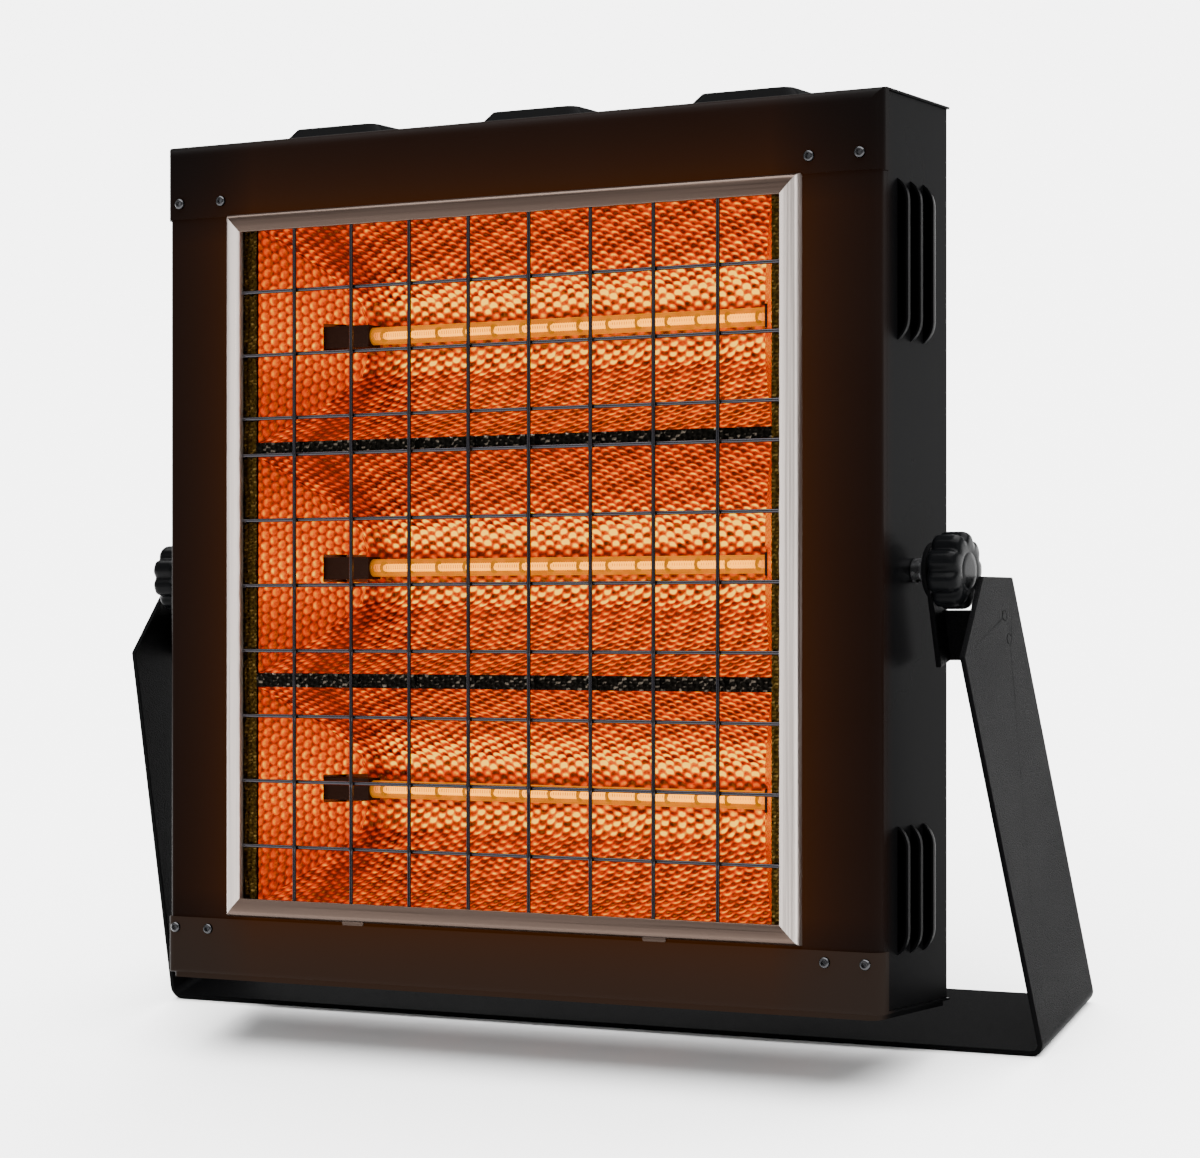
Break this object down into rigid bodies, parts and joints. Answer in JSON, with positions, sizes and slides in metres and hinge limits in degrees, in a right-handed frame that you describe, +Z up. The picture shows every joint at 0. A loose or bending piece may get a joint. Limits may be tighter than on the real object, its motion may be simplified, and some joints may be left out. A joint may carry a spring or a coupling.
{
  "type": "outdoor infrared heater",
  "caption": "Upright infrared heater: flat black case, steel-trimmed window with a wire guard, hammered reflectors and quartz lamps, carried on a bent steel yoke with side clamp knobs.",
  "frame": {"origin": "centre of the yoke's base plate, on its underside", "axes": "+X to the heater's right as seen from the front, +Y to the back, +Z up from the floor"},
  "size_m": [0.5668, 0.2215, 0.5052],
  "materials": {
    "black_powder_coat": "satin powder coat on sheet steel",
    "yoke_coat": "fine-textured powder coat on strip steel",
    "trim_steel": "brushed stainless steel",
    "guard_wire": "darkened bright-drawn wire",
    "reflector_metal": "hammered bright reflector sheet",
    "surround_metal": "hammered sheet, dark where it isn't lit",
    "quartz": "clear quartz tube with an orange glow",
    "tungsten": "glowing coiled filament",
    "ceramic": "unglazed ceramic",
    "plated_steel": "bright zinc plate",
    "inner_steel": "aluminised sheet steel",
    "lead_sleeve": "silicone and glass sleeving",
    "black_rubber": "matt rubber",
    "black_plastic": "moulded phenolic plastic",
    "terminal_plastic": "moulded thermoset",
    "brass": "turned brass"
  },
  "bodies": {
    "yoke": {"yoke": "yoke_coat", "left_pivot_bracket": "yoke_coat", "right_pivot_bracket": "yoke_coat", "bracket_rivets": "plated_steel"},
    "heater": {"rear_casing": "black_powder_coat", "front_panel": "black_powder_coat", "top_cap": "black_powder_coat", "bottom_cap": "black_powder_coat", "vent_hoods": "black_powder_coat", "cap_screws": "plated_steel", "trim_frame": "trim_steel", "wire_guard": "guard_wire", "reflector_surround": "surround_metal", "lower_reflector": "reflector_metal", "middle_reflector": "reflector_metal", "upper_reflector": "reflector_metal", "left_reflector_ends": "reflector_metal", "right_reflector_ends": "reflector_metal", "lower_lamp_tube": "quartz", "middle_lamp_tube": "quartz", "upper_lamp_tube": "quartz", "lower_filament": "tungsten", "middle_filament": "tungsten", "upper_filament": "tungsten", "lamp_ceramics": "ceramic", "left_lamp_rail": "inner_steel", "right_lamp_rail": "inner_steel", "heat_shield": "inner_steel", "lamp_leads": "lead_sleeve", "lead_grommet": "black_rubber", "connection_box": "black_powder_coat", "box_screws": "plated_steel", "terminal_block": "terminal_plastic", "gland_body": "black_plastic", "gland_seal": "black_rubber", "gland_dome_nut": "black_plastic", "left_stud": "plated_steel", "right_stud": "plated_steel", "stud_nuts": "plated_steel", "left_friction_washer": "black_rubber", "right_friction_washer": "black_rubber"},
    "left_clamp": {"left_knob": "black_plastic", "left_knob_insert": "brass"},
    "right_clamp": {"right_knob": "black_plastic", "right_knob_insert": "brass"}
  },
  "joints": [
    {"name": "heater_tilt", "type": "hinge", "parent": "yoke", "child": "heater", "pos_m": [0, 0, 0.255], "axis": [1, 0, 0], "range_deg": [-45, 60]},
    {"name": "left_knob_turn", "type": "hinge", "parent": "heater", "child": "left_clamp", "pos_m": [-0.2485, 0, 0.255], "axis": [-1, 0, 0], "continuous": true},
    {"name": "right_knob_turn", "type": "hinge", "parent": "heater", "child": "right_clamp", "pos_m": [0.2485, 0, 0.255], "axis": [1, 0, 0], "continuous": true}
  ]
}
